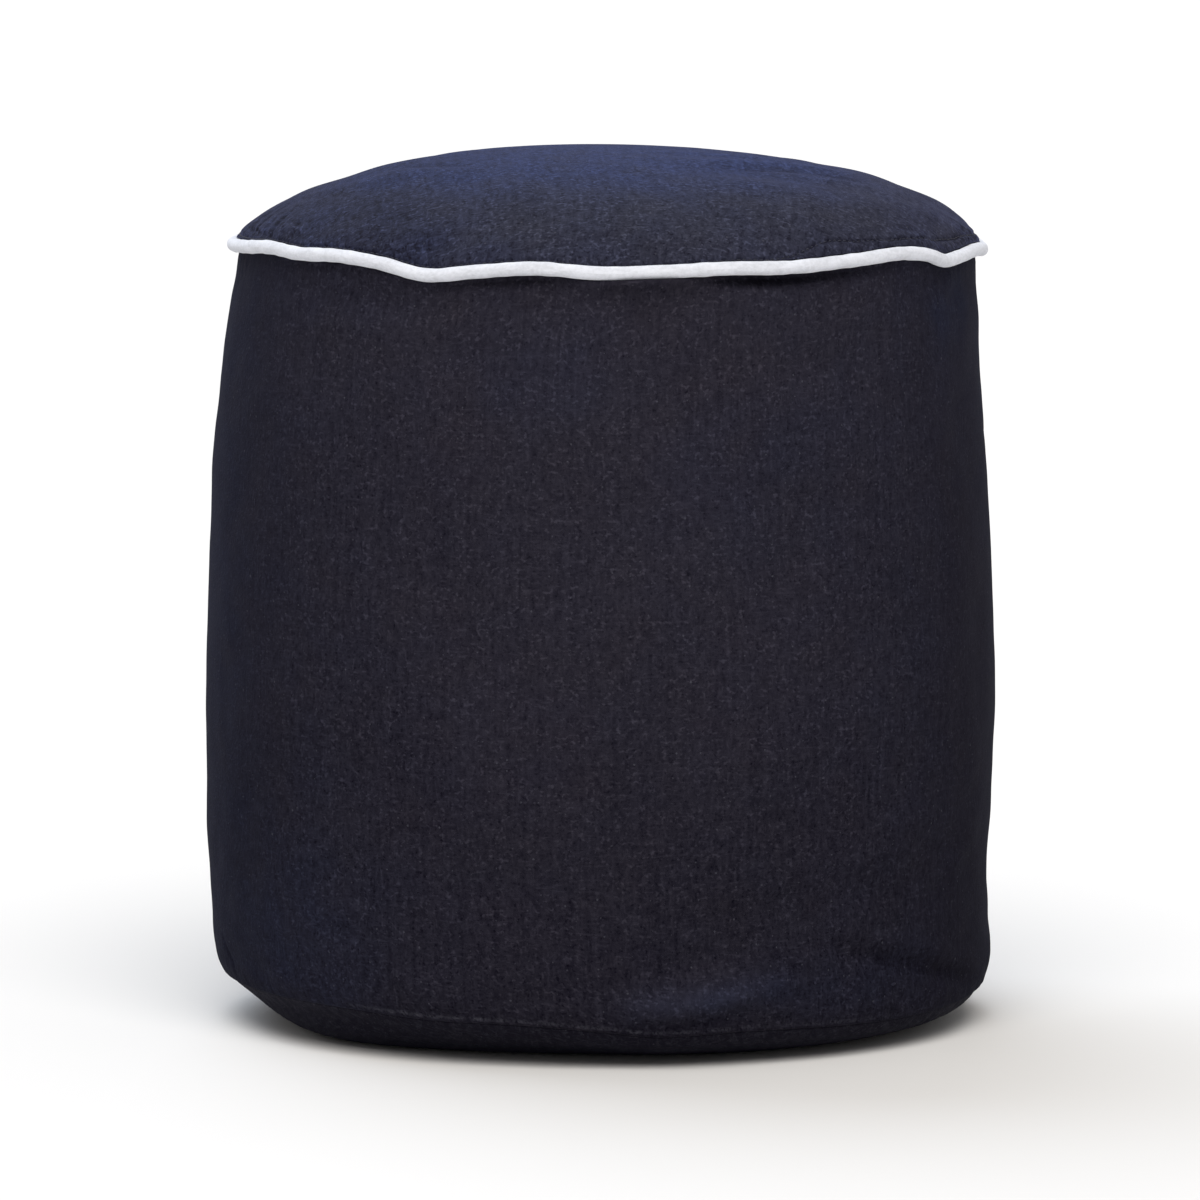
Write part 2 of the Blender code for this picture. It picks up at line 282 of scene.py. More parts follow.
# Upright folds that hang into the base seam
SEAM_TUCKS = [
    # azimuth, height of the middle, half height, half width, rise
    (4.2, 33, 13, 2.2, 0.9),
    (6.6, 33, 14, 1.8, -0.9),
    (21.5, 34, 12, 2.4, -0.8),
    (24.5, 32, 10, 2.4, 0.6),
    (-31, 31, 10, 2.2, -0.6),
    (-53, 34, 12, 2.6, -0.7),
    (43, 33, 12, 2.4, -0.6),
    (61, 32, 11, 2.4, 0.6),
    (96, 34, 12, 2.6, -0.7),
    (131, 33, 13, 2.4, -0.8),
    (168, 33, 12, 2.4, 0.7),
    (-101, 33, 12, 2.4, -0.7),
    (-137, 34, 13, 2.6, 0.8),
    (-158, 33, 11, 2.2, -0.7),
]

# How strongly the crown gathers into the top seam round the bag
CROWN_GATHER = [
    # azimuth in degrees, share of the full pucker
    (-170, 0.5), (-120, 0.6), (-88, 0.9), (-70, 0.7), (-52, 0.3), (-20, 0.2), (10, 0.2),
    (28, 0.5), (50, 0.8), (72, 0.9), (90, 0.7), (130, 0.5),
]

# How pale the base seam's edge is rubbed round the bag
SEAM_RUB = [
    # azimuth in degrees, share
    (-150, 0.3), (-90, 0.2), (-60, 0.05), (-42, 0.1), (-36, 0.7), (-22, 0.8), (-8, 0.6),
    (4, 0.7), (16, 0.5), (26, 0.2), (36, 0.5), (46, 0.2), (60, 0.05), (100, 0.2), (150, 0.4),
]

# Patches of the wall painted paler (share above zero) or darker: a painted highlight on the bulge above
# the base seam, painted shade in the trough below it and in a crease at 52 degrees, further paler patches
# and a darker one low on the left
RUBBED_AND_PAINTED_LIGHT = [
    # azimuth, height, half length, half width, share, climb per length
    (13.5, 41, 40, 8, 0.22, 0.1),
    (10.5, 26, 34, 5, -0.14, 0.05),
    (6, 230, 120, 110, 0.06, 0),
    (-66, 22, 28, 8, -0.14, 0),
    (52, 48, 66, 5, -0.08, -0.21),
    (-62, 52, 105, 62, 0.10, 0),
    (-84, 210, 78, 170, 0.06, 0),
]

# Patches of the wall whose pale threads are bluer (share above zero) or less blue; on the bulge above the
# base seam the blue is a painted bluish highlight
BLUED_AND_PAINTED_SHEEN = [
    # azimuth, height, half length, half width, share, climb per length
    (15, 40, 46, 9, 0.55, 0.09),
    (38, 44, 62, 14, 0.35, 0.05),
    (-62, 52, 105, 62, 0.55, 0),
    (-84, 210, 78, 170, 0.45, 0),
    (-8, 352, 40, 20, 0.35, 0.05),
    (22, 300, 60, 30, 0.20, 0.2),
    (66, 378, 26, 18, 0.60, 0),
    (84, 190, 90, 160, -0.35, 0),
]

# Distance of the topstitching from the cord: it hides under the crown at the front left
STITCH_OFFSET = [
    # azimuth in degrees, distance up the crown from its edge
    (-150, 4), (-100, 3.2), (-75, 0.9), (-20, 0.6), (20, 0.7), (29, 2.4), (33, 7),
    (36, 9), (41, 7), (49, 4.6), (55, 5.6), (62, 8), (68, 6.6), (75, 5.4), (100, 4.6),
    (150, 4.2),
]

# How far the wall stands out or back just under the cord, past its profile
CORD_HUG = [
    # azimuth in degrees, distance
    (-140, 0.8), (-90, 0), (-50, 0), (-27, 0.4), (-22, -1.6), (-8, -1.6), (-4, 2.8),
    (13, 2.8), (16, -2.6), (42, -2.6), (48, -0.6), (70, -0.6), (90, 0), (120, 0.8),
    (160, -0.8),
]


def length(name, description, default, low, high):
    """A size that a user may change, its limits in millimetres."""
    return bpy.props.FloatProperty(
        name=name, description=description, default=default, min=low * MM, max=high * MM, unit="LENGTH"
    )


def colour(name, description, default):
    """A colour that a user may change."""
    return bpy.props.FloatVectorProperty(
        name=name, description=description, default=default, size=3, subtype="COLOR", min=0, max=1
    )


class BagSizes(bpy.types.PropertyGroup):
    """Sizes of the cloth, cord and stitches"""

    cord_radius: length("Cord radius", "Half the thickness of the piping", CORD_RADIUS, 2, 6)
    pucker: length("Pucker", "Height of the small folds along the seams", 0.55 * MM, 0, 2)
    crumple: length("Crumple", "Height of the soft unevenness of the wall", 0.36 * MM, 0, 3)
    stitch: length("Stitch", "Length of one stitch and the gap after it", 3.1 * MM, 2, 6)
    thread: length("Thread", "Thickness of the sewing thread", 0.55 * MM, 0.2, 1.5)


class BagColours(bpy.types.PropertyGroup):
    """Colours of the denim, cord and stage"""

    indigo: colour("Indigo", "The dyed warp threads", (0.0042, 0.0036, 0.0080))
    undyed: colour(
        "Undyed", "The paler weft threads that show between the warp", (0.0435, 0.0395, 0.0500)
    )
    # Blue of the wall's pale threads: where dye has run into them, and towards the wall's sides a painted
    # bluish sheen
    wall_blue_and_sheen: colour(
        "Wall Blue", "The wall's weft threads where the dye has run into them", (0.0355, 0.0400, 0.0680)
    )
    # Blue of the crown's pale threads: where dye has run into them, and towards the crown's top and left
    # a painted bluish sheen
    crown_blue_and_sheen: colour(
        "Crown Blue", "The crown's weft threads where the dye has run into them", (0.0335, 0.0405, 0.0920)
    )
    worn: colour("Worn", "Denim rubbed pale along a seam", (0.090, 0.090, 0.110))
    sheen: colour("Sheen", "Tint of the light that the denim's fuzz catches", (0.32, 0.36, 0.90))
    cotton: colour("Cotton", "The white cloth of the piping", (0.74, 0.75, 0.80))
    thread: colour("Thread", "The sewing thread", (0.012, 0.012, 0.020))
    floor: colour("Floor", "The pale floor", (0.785, 0.765, 0.74))


def sizes():
    return bpy.context.scene.bean_bag_sizes


def colours():
    return bpy.context.scene.bean_bag_colours


def ramp(value, low, high):
    """0 below low, 1 above high, and 3t^2 - 2t^3 of the way t between them."""
    t = np.clip((value - low) / (high - low), 0, 1)
    return t * t * (3 - 2 * t)


def curve_through(knots, at):
    """Cubic pieces through (place, value) knots, each as steep as its two neighbours make it."""
    place, value = np.array(knots, float).T
    slope = np.gradient(value, place)
    i = np.clip(np.searchsorted(place, at) - 1, 0, len(place) - 2)
    step = place[i + 1] - place[i]
    t = np.clip((at - place[i]) / step, 0, 1)
    start = (1 + 2 * t) * (1 - t) ** 2 * value[i] + t * (1 - t) ** 2 * step * slope[i]
    end = t * t * (3 - 2 * t) * value[i + 1] + t * t * (t - 1) * step * slope[i + 1]
    return start + end


def round_the_bag(knots, azimuth):
    """The same curve for a table of azimuths in degrees, closed on itself."""
    last, first = knots[-1], knots[0]
    closed = [(last[0] - 360, last[1]), *knots, (first[0] + 360, first[1])]
    return curve_through(closed, azimuth)


def turn_from(azimuth, middle):
    """Degrees from the middle to the azimuth, from -180 to 180."""
    return (azimuth - middle + 180) % 360 - 180


def folds_of(table, azimuth, height):
    """Sum of the table's folds: rise * exp(-(along / half length)^4 - (across / half width)^2).
    The azimuth is in degrees, the height in metres and the sum in the unit of the rise."""
    out = np.zeros(np.broadcast(azimuth, height).shape)
    for middle, level, half_length, half_width, rise, climb in table:
        along = np.radians(turn_from(azimuth, middle)) * FULL_RADIUS / MM
        across = height / MM - level - climb * along
        out += rise * np.exp(-((along / half_length) ** 4) - (across / half_width) ** 2)
    return out


def tucks_of(table, azimuth, height):
    """Sum of upright folds: rise * exp(-(up / half height)^2 - (across / half width)^2)."""
    out = np.zeros(np.broadcast(azimuth, height).shape)
    for middle, level, half_height, half_width, rise in table:
        across = np.radians(turn_from(azimuth, middle)) * FULL_RADIUS / MM
        up = height / MM - level
        out += rise * np.exp(-((up / half_height) ** 2) - (across / half_width) ** 2)
    return out


def crown_folds(table, x, y):
    """Sum of the table's creases, each a bell across the line between its ends."""
    up = np.zeros_like(x)
    for x0, y0, x1, y1, half_width, rise in table:
        reach = math.hypot(x1 - x0, y1 - y0)
        cos, sin = (x1 - x0) / reach, (y1 - y0) / reach
        along = (x / MM - x0) * cos + (y / MM - y0) * sin
        across = (y / MM - y0) * cos - (x / MM - x0) * sin
        middle = (2 * along / reach - 1) ** 4
        up += rise * np.exp(-middle - (across / half_width) ** 2)
    return up


def settle(azimuth, radius, height):
    """Points of the perfect drum, moved to where they lie in the filled bag.
    The radius grows by the folds and the foot's reach, the height by the seam waves
    and the crown's creases, and each level shifts sideways by the lean. Up the crown the
    top seam's waves give way to their mean over a wide turn, so that no kink runs inwards."""
    azimuth, radius, z = np.broadcast_arrays(azimuth, radius, height)
    turn = np.radians(azimuth)
    near_wall = ramp(radius, 120 * MM, 180 * MM)
    near_edge = ramp(radius, 60 * MM, 182 * MM)
    below_seam = ramp(TOP_SEAM_HEIGHT - z, 6 * MM, 20 * MM)
    off_floor = ramp(z, 2 * MM, 22 * MM)
    foot_rim = ramp(radius, 60 * MM, FOOT_RADIUS) * (1 - ramp(z, 0, 16 * MM))
    folded = (
        radius
        + MM * folds_of(WALL_FOLDS, azimuth, z) * near_wall * below_seam * off_floor
        + MM * round_the_bag(FOOT_REACH, azimuth) * foot_rim
    )
    top_share = ramp(z, TOP_SEAM_HEIGHT - 120 * MM, TOP_SEAM_HEIGHT - 8 * MM) * near_edge
    base_share = ramp(z, 0, 18 * MM) * (1 - ramp(z, 30 * MM, 120 * MM)) * near_edge
    on_crown = ramp(z, TOP_SEAM_HEIGHT, TOP_SEAM_HEIGHT + 20 * MM)
    evened = ramp(z, TOP_SEAM_HEIGHT + 4 * MM, TOP_SEAM_HEIGHT + 24 * MM)
    sharp = round_the_bag(TOP_SEAM_WAVES, azimuth)
    near = [round_the_bag(TOP_SEAM_WAVES, turn_from(azimuth, aside)) for aside in EVENING]
    smooth = sum(near) / len(near)
    raised = (
        z
        + MM * top_share * (sharp + evened * (smooth - sharp))
        + MM * base_share * round_the_bag(BASE_SEAM_WAVES, azimuth)
        + MM * on_crown * crown_folds(CROWN_FOLDS, radius * np.sin(turn), -radius * np.cos(turn))
    )
    x = folded * np.sin(turn) + MM * curve_through(LEAN, z / MM)
    return np.stack([x, -folded * np.cos(turn), raised], axis=-1)


def settled(azimuth, outline):
    """The rings of an outline's (radius, height) points turned round the bag, and those heights."""
    radius, height = outline.T[:, :, None]
    return settle(azimuth, radius, height), height


def columns(count):
    """Azimuths of the grid's columns. They start at the back, where the cloth's join is."""
    return np.arange(count) * 360 / count - 180


def band_field(rows, count, row_step, wavelength, stretch, seed):
    """A random field of about that wavelength, which closes round the bag, with unit spread.
    White noise on the grid is kept only where its frequency is near 1 / wavelength."""
    noise = np.random.default_rng(seed).standard_normal((rows, count))
    across = np.fft.fftfreq(count, 2 * math.pi * FULL_RADIUS / count) * wavelength
    down = np.fft.fftfreq(rows, row_step) * wavelength * stretch
    frequency = np.hypot(across[None, :], down[:, None])
    kept = np.exp(-(((frequency - 1) / 0.45) ** 2))
    field = np.fft.ifft2(np.fft.fft2(noise) * kept).real
    return field / field.std()


def ripple(azimuth, radius, wavelength, seed):
    """Uneven waves round the bag: cosines of whole numbers of turns near that wavelength."""
    draw = np.random.default_rng(seed)
    turns = 2 * math.pi * radius / wavelength
    out = np.zeros(np.shape(azimuth))
    for share in np.linspace(0.45, 1.5, 22):
        phase = draw.uniform(0, 2 * math.pi)
        out += np.cos(np.radians(azimuth) * round(turns * share) + phase)
    return out / out.std()


def inset(outline, depth):
    """The outline, (radius, height) points run from the axis outwards, moved towards its right."""
    run = np.gradient(outline, axis=0, edge_order=2)
    run[0] = (1, 0)
    return outline + depth * unit(run)[:, ::-1] * (1, -1)


def crown_outline(rows, edge=TOP_PANEL_EDGE):
    """Radius edge * sin(t), height rise * (1 - (radius / cord line)^2.2)^0.62, t from 0 to 90 degrees."""
    turn = np.linspace(0, math.pi / 2, rows + 1)
    radius = edge * np.sin(turn)
    share = 1 - (radius / CORD_LINE_RADIUS) ** CROWN_FULLNESS
    return np.column_stack([radius, TOP_SEAM_HEIGHT + CROWN_RISE * share**CROWN_SHOULDER])


def base_outline(flat_rows, turn_rows):
    """A flat run out to the foot's radius, then an elliptic arc of 66 degrees up to the seam."""
    flat = [(FOOT_RADIUS * k / flat_rows, 0) for k in range(flat_rows)]
    turn = np.linspace(0, BASE_TURN, turn_rows + 1)
    out = np.sin(turn) / math.sin(BASE_TURN)
    up = (1 - np.cos(turn)) / (1 - math.cos(BASE_TURN))
    radius = FOOT_RADIUS + (BASE_EDGE - FOOT_RADIUS) * out
    return np.vstack([flat, np.column_stack([radius, BASE_SEAM_HEIGHT * up])])


def groove_outline():
    """The hollow behind the cord, an arc round the cord's middle line, from top to bottom."""
    turn = np.radians(np.linspace(157, 206, GROOVE_ROWS))
    spoke = CORD_NEST * np.column_stack([np.cos(turn), np.sin(turn)])
    return (CORD_LINE_RADIUS, TOP_SEAM_HEIGHT) + spoke


def wall_outline(rows):
    """The wall's outer face, from under the cord down to the rim, its rows closer near both seams."""
    top, bottom = WALL_PROFILE[-1][0] * MM, WALL_PROFILE[0][0] * MM
    way = np.linspace(0, 1, rows)
    eased = 0.6 * way + 0.4 * (1 - np.cos(math.pi * way)) / 2
    height = top + (bottom - top) * eased
    return np.column_stack([FULL_RADIUS - MM * curve_through(WALL_PROFILE, height / MM), height])


def rim_outline(base):
    """The wall's lower edge, rolled in to just off the cut edge of the base panel."""
    edge = base[-1] + GAP * unit(base[-1] - base[-2])
    height, shortfall = WALL_PROFILE[0]
    start = np.array([FULL_RADIUS - shortfall * MM, height * MM])
    low = np.array([start[0] - 0.6 * MM, edge[1] - 0.1 * MM])
    t = np.linspace(0, 1, RIM_ROWS + 1)[1:, None]
    return (1 - t) ** 2 * start + 2 * t * (1 - t) * low + t * t * edge


def length_down(outline):
    """Distance along the outline to each of its points."""
    return np.r_[0, np.cumsum(np.linalg.norm(np.diff(outline, axis=0), axis=1))]


def normals_of(points):
    """Outward unit normals of a grid that closes round the bag."""
    round_it = np.roll(points, -1, axis=1) - np.roll(points, 1, axis=1)
    down = np.gradient(points, axis=0)
    normal = np.cross(down, round_it)
    normal /= np.maximum(np.linalg.norm(normal, axis=2), 1e-12)[..., None]
    return normal


def corners(grid):
    """The four corners of each cell of a grid: the one above on the left, then down and round."""
    return np.stack([grid[:-1, :-1], grid[1:, :-1], grid[1:, 1:], grid[:-1, 1:]], axis=2)


def build_mesh(name, points, faces, uv=None):
    """A smooth mesh from arrays of faces, each with its own number of corners to a face. uv is
    where on the cloth, in metres, each corner of each face lies."""
    mesh = bpy.data.meshes.new(name)
    mesh.from_pydata(points.reshape(-1, 3), [], [face for part in faces for face in part.tolist()])
    if uv is not None:
        mesh.uv_layers.new(name="cloth").uv.foreach_set("vector", uv.astype(np.float32).ravel())
    mesh.shade_smooth()
    mesh.validate()
    return mesh


def grid_mesh(name, rings, poles, uv=None):
    """A closed mesh from rings of points. Neighbouring rings are joined by four-sided faces and
    the two poles by fans. uv, where there is one, has one column more than rings, so that the
    weave has its join."""
    rows, count = rings.shape[:2]
    at = np.pad(np.arange(rows * count).reshape(rows, count), ((0, 0), (0, 1)), mode="wrap")
    first, last = (np.full(count, rows * count + k) for k in (0, 1))
    top = np.stack([first, at[0, :-1], at[0, 1:]], axis=1)
    bottom = np.stack([last, at[-1, 1:], at[-1, :-1]], axis=1)
    if uv is not None:
        halfway = (uv[:, :-1] + uv[:, 1:]) / 2
        top_uv = np.stack([halfway[0], uv[0, :-1], uv[0, 1:]], axis=1)
        bottom_uv = np.stack([halfway[-1], uv[-1, 1:], uv[-1, :-1]], axis=1)
        uv = np.concatenate([part.reshape(-1, 2) for part in (corners(uv), top_uv, bottom_uv)])
    points = np.vstack([rings.reshape(-1, 3), poles])
    return build_mesh(name, points, (corners(at).reshape(-1, 4), top, bottom), uv)


def cord_mesh(name, rings):
    """A tube closed on itself, from rings of points along it, with its cloth's length and girth as UV."""
    count, sides = rings.shape[:2]
    at = np.pad(np.arange(count * sides).reshape(count, sides), (0, 1), mode="wrap")
    along = np.arange(count + 1) * 2 * math.pi * CORD_LINE_RADIUS / count
    girth = np.arange(sides + 1) * 2 * math.pi * CORD_RADIUS / sides
    uv = np.stack(np.meshgrid(along, girth), axis=-1)
    return build_mesh(name, rings, [corners(at.T).reshape(-1, 4)], corners(uv))


def thread_mesh(name, rings):
    """Many short closed tubes in one mesh, from an array of stitches by rings by points."""
    at = np.arange(rings[..., 0].size).reshape(rings.shape[:3])
    closed = np.concatenate([at, at[..., :1]], axis=2)
    tubes = [corners(stitch.T).reshape(-1, 4) for stitch in closed]
    return build_mesh(name, rings, [*tubes, at[:, 0, ::-1], at[:, -1]])


def unit(vectors):
    """The vectors, each made one long."""
    return vectors / np.linalg.norm(vectors, axis=-1, keepdims=True)


def run_of(line):
    """Unit vectors along a line of points that closes on itself."""
    return unit(np.roll(line, -1, axis=0) - np.roll(line, 1, axis=0))


def rings_round(middle, across, up, radius, sides):
    """Rings of points round the points of a line, in the plane of the two unit vectors there."""
    side = np.arange(sides)[:, None] * 2 * math.pi / sides
    spoke = np.cos(side) * across[..., None, :] + np.sin(side) * up[..., None, :]
    return middle[..., None, :] + radius[..., None] * spoke


def add_finish(mesh, shape, heather, wear=0.0, rub_and_painted_light=1.0, navy_and_sheen=0.3):
    """Stores how strong the cloth's heather is, how pale it is worn along its seams, how pale its heather
    is, partly the cloth's own paleness and partly painted shade and highlight, and how blue its pale
    threads are, partly a painted bluish sheen."""
    for name, value in (("heather", heather), ("wear", wear), ("rub_and_painted_light", rub_and_painted_light), ("navy_and_sheen", navy_and_sheen)):
        spread = np.broadcast_to(value, shape).ravel()
        layer = mesh.attributes.new(name, "FLOAT", "POINT")
        layer.data.foreach_set("value", np.r_[spread, spread[0], spread[-1]].astype(np.float32))


def put_in_scene(name, data):
    """A new object with that data."""
    made = bpy.data.objects.new(name, data)
    bpy.context.scene.collection.objects.link(made)
    return made


def add_piece(mesh, material, slot, *nodes):
    """The mesh as a piece of the bag, which rides on its only body and stands for those nodes."""
    piece = put_in_scene(mesh.name, mesh)
    mesh.materials.append(material)
    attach(piece, "root")
    if nodes:
        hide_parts(*nodes)
    return piece


class Nodes:
    """Short calls that make a material's nodes and hand on their outputs."""

    def __init__(self, name):
        self.material = bpy.data.materials.new(name)
        self.material.use_nodes = True
        self.tree = self.material.node_tree
        self.shader = self.tree.nodes["Principled BSDF"]

    def put(self, kind, output, inputs, **settings):
        """A new node with those inputs and settings, for which its numbered output stands."""
        node = self.tree.nodes.new(kind)
        for key, value in settings.items():
            setattr(node, key, value)
        for key, value in inputs.items():
            self.feed(node.inputs[key], value)
        return node.outputs[output]

    def feed(self, socket, value):
        """Links another node's output to the socket or sets a number, vector or colour there."""
        if isinstance(value, bpy.types.NodeSocket):
            self.tree.links.new(value, socket)
        elif socket.type == "RGBA":
            socket.default_value = (*value, 1)
        else:
            socket.default_value = value

    def attribute(self, name):
        return self.put("ShaderNodeAttribute", 2, {}, attribute_name=name)

    def uv(self):
        return self.put("ShaderNodeUVMap", 0, {}, uv_map="cloth")

    def split(self, place):
        node = self.tree.nodes.new("ShaderNodeSeparateXYZ")
        self.tree.links.new(place, node.inputs[0])
        return node.outputs[0], node.outputs[1]

    def math(self, operation, a, b=0.0, clamp=False):
        return self.put("ShaderNodeMath", 0, {0: a, 1: b}, operation=operation, use_clamp=clamp)

    def total(self, start, *terms):
        """The start and all the terms, each a value and the share of it that counts."""
        for value, share in terms:
            start = self.math("ADD", start, self.math("MULTIPLY", value, share))
        return start

    def noise(self, place, scale, detail=2.0, roughness=0.5):
        inputs = {"Vector": place, "Scale": scale, "Detail": detail, "Roughness": roughness}
        return self.put("ShaderNodeTexNoise", 0, inputs)

    def stretched(self, place, x, y):
        return self.put("ShaderNodeMapping", 0, {"Vector": place, "Scale": (x, y, 1)})

    def steps(self, value, low, high):
        inputs = {"Value": value, "From Min": low, "From Max": high}
        return self.put("ShaderNodeMapRange", 0, inputs, interpolation_type="SMOOTHSTEP")

    def specks(self, place, x, y, low, high, detail=1.0, roughness=0.5):
        """Where a noise, so many cells to the metre each way, passes from low to high."""
        return self.steps(self.noise(self.stretched(place, x, y), 1.0, detail, roughness), low, high)

    def mix(self, share, a, b):
        node = self.tree.nodes.new("ShaderNodeMix")
        node.data_type = "RGBA"
        sockets = [s for s in node.inputs if s.enabled]
        for socket, value in zip(sockets, (share, a, b)):
            self.feed(socket, value)
        return [s for s in node.outputs if s.enabled][0]

    def bump(self, height, strength, distance):
        inputs = {"Height": height, "Strength": strength, "Distance": distance}
        self.finish(Normal=self.put("ShaderNodeBump", 0, inputs))

    def finish(self, **values):
        """Feeds the shader's own inputs, their names with underscores for spaces."""
        for name, value in values.items():
            self.feed(self.shader.inputs[name.replace("_", " ")], value)


def denim_material(name, dye, run, nap, gloss):
    """Heathered indigo twill. On a soft mottle lie clusters of pale flecks, a few dark ones,
    short strokes of warp and weft that take turns in patches, and long faint slubs. The dye
    multiplies the thread colours; the crown's brighter, bluer dye is painted light from above.
    run is the blue of the pale threads, mixed in where dye has run into them and, where the navy
    attribute is high, as a painted bluish sheen. nap is the sheen's weight and gloss the specular
    level. The heather attribute is the contrast, and the rub attribute sets the paleness, which also
    carries painted shade and highlight."""
    n = Nodes(name)
    place, rub_and_painted_light, heather = n.uv(), n.attribute("rub_and_painted_light"), n.attribute("heather")
    cloud = n.noise(place, 14.0, 3.0, 0.6)
    mottle = n.noise(n.stretched(place, 250, 160), 1.0, 3.0, 0.6)
    grain = n.noise(place, 620.0, 2.0, 0.6)
    cluster = n.specks(place, 105, 70, 0.40, 0.60, 2.0, 0.6)
    fleck = n.specks(place, 390, 450, 0.52, 0.72, 1.0, 0.6)
    hole = n.steps(n.noise(place, 570.0, 1.0, 0.6), 0.56, 0.72)
    warp = n.specks(place, 620, 150, 0.52, 0.68)
    weft = n.specks(place, 150, 620, 0.52, 0.68)
    which = n.steps(n.noise(place, 130.0, 1.0), 0.42, 0.58)
    stroke = n.put("ShaderNodeMix", 0, {0: which, 2: warp, 3: weft})
    upright_slub = n.noise(n.stretched(place, 300, 11), 1.0, 1.0)
    level_slub = n.specks(place, 13, 420, 0.62, 0.78)

    rising = n.math("ADD", *n.split(place))
    wale = n.math("SINE", n.math("MULTIPLY", rising, 2 * math.pi / WALE))

    clustered = n.math("MULTIPLY", n.math("MULTIPLY", fleck, n.math("ADD", cluster, 0.25)), rub_and_painted_light)
    soft = (cloud, 0.26), (mottle, 1.14), (grain, 0.70), (clustered, 0.68), (hole, -0.32)
    woven = (stroke, 0.28), (upright_slub, 0.40), (level_slub, 0.08)
    marks = n.total(-MEAN_MARKS, *soft, *woven)
    # The pale share follows the rub attribute, which carries painted shade and highlight as well as the
    # cloth's own paleness
    pale = n.total(-0.16, (marks, heather), (rub_and_painted_light, 0.60))
    nep = n.steps(n.noise(place, 560.0, 0.0), 0.76, 0.88)
    rubbed = n.math("MULTIPLY", n.attribute("wear"), n.steps(grain, 0.35, 0.60))

    threads = colours().indigo, colours().undyed, run
    indigo, undyed, blue = (tuple(np.multiply(dye, thread)) for thread in threads)
    # The blue of the pale threads follows the navy attribute, which is partly a painted bluish sheen
    navy_and_sheen = n.attribute("navy_and_sheen")
    patchy = n.math("SUBTRACT", n.noise(place, 34.0, 2.0), 0.5)
    patchy = n.math("MULTIPLY", patchy, n.math("ADD", navy_and_sheen, 0.3))
    tint = n.mix(n.math("ADD", navy_and_sheen, patchy, clamp=True), undyed, blue)
    cloth = n.mix(pale, indigo, tint)
    cloth = n.mix(n.math("MULTIPLY", nep, 0.35), cloth, colours().worn)
    cloth = n.mix(rubbed, cloth, colours().worn)

    raised = (stroke, 0.35), (grain, 1.0), (fleck, 0.45), (upright_slub, 0.3), (wale, 0.12)
    n.bump(n.total(0.0, *raised), 0.5, 0.45 * MM)
    n.finish(Base_Color=cloth, Roughness=n.total(0.74, (grain, 0.2)), Specular_IOR_Level=gloss)
    n.finish(Sheen_Weight=nap, Sheen_Roughness=0.22, Sheen_Tint=colours().sheen)
    return n.material


def cotton_material():
    """White bias-cut cotton: a fine plain weave at 45 degrees to the cord, faintly uneven."""
    n = Nodes("white_cotton")
    place = n.uv()
    pitch = 2 * math.pi / COTTON_PITCH
    rising, falling = (
        n.math("SINE", n.math("MULTIPLY", n.math(way, *n.split(place)), pitch))
        for way in ("ADD", "SUBTRACT")
    )
    weave = n.math("MULTIPLY", rising, falling)
    soft = n.noise(n.stretched(place, 60, 160), 1.0, 3.0, 0.6)
    dusty = n.noise(place, 420.0, 3.0, 0.7)
    shade = n.total(0.0, (soft, 0.6), (dusty, 0.5))
    white = tuple(colours().cotton)
    grey = tuple(0.80 * c for c in white)
    n.finish(Base_Color=n.mix(n.steps(shade, 0.38, 0.70), grey, white))
    n.bump(n.total(0.0, (weave, 0.35), (dusty, 0.8)), 0.35, 0.2 * MM)
    n.finish(Roughness=0.86, Specular_IOR_Level=0.3, Sheen_Weight=0.12, Sheen_Roughness=0.5)
    return n.material


def thread_material():
    """Dark sewing thread with a little twist in its shine."""
    n = Nodes("sewing_thread")
    place = n.put("ShaderNodeTexCoord", 3, {})
    twist = n.noise(place, 2600.0, 1.0)
    dark = tuple(colours().thread)
    n.bump(twist, 0.4, 0.1 * MM)
    shine = n.mix(twist, dark, tuple(2.2 * c for c in dark))
    n.finish(Base_Color=shine, Roughness=0.6, Specular_IOR_Level=0.4)
    return n.material


def level_uv(azimuth, outline):
    """The wall's weave: metres round the bag and metres down its outline."""
    around = np.radians(np.append(azimuth, azimuth[0] + 360)) * FULL_RADIUS
    down = -length_down(outline)
    return np.stack(np.broadcast_arrays(around[None, :], down[:, None]), axis=-1)


def flat_uv(azimuth, outline):
    """A round panel's weave: metres from its middle as it lay flat when it was cut."""
    turn = np.radians(np.append(azimuth, azimuth[0] + 360))
    out = length_down(outline)[:, None]
    return np.stack([out * np.sin(turn), -out * np.cos(turn)], axis=-1)


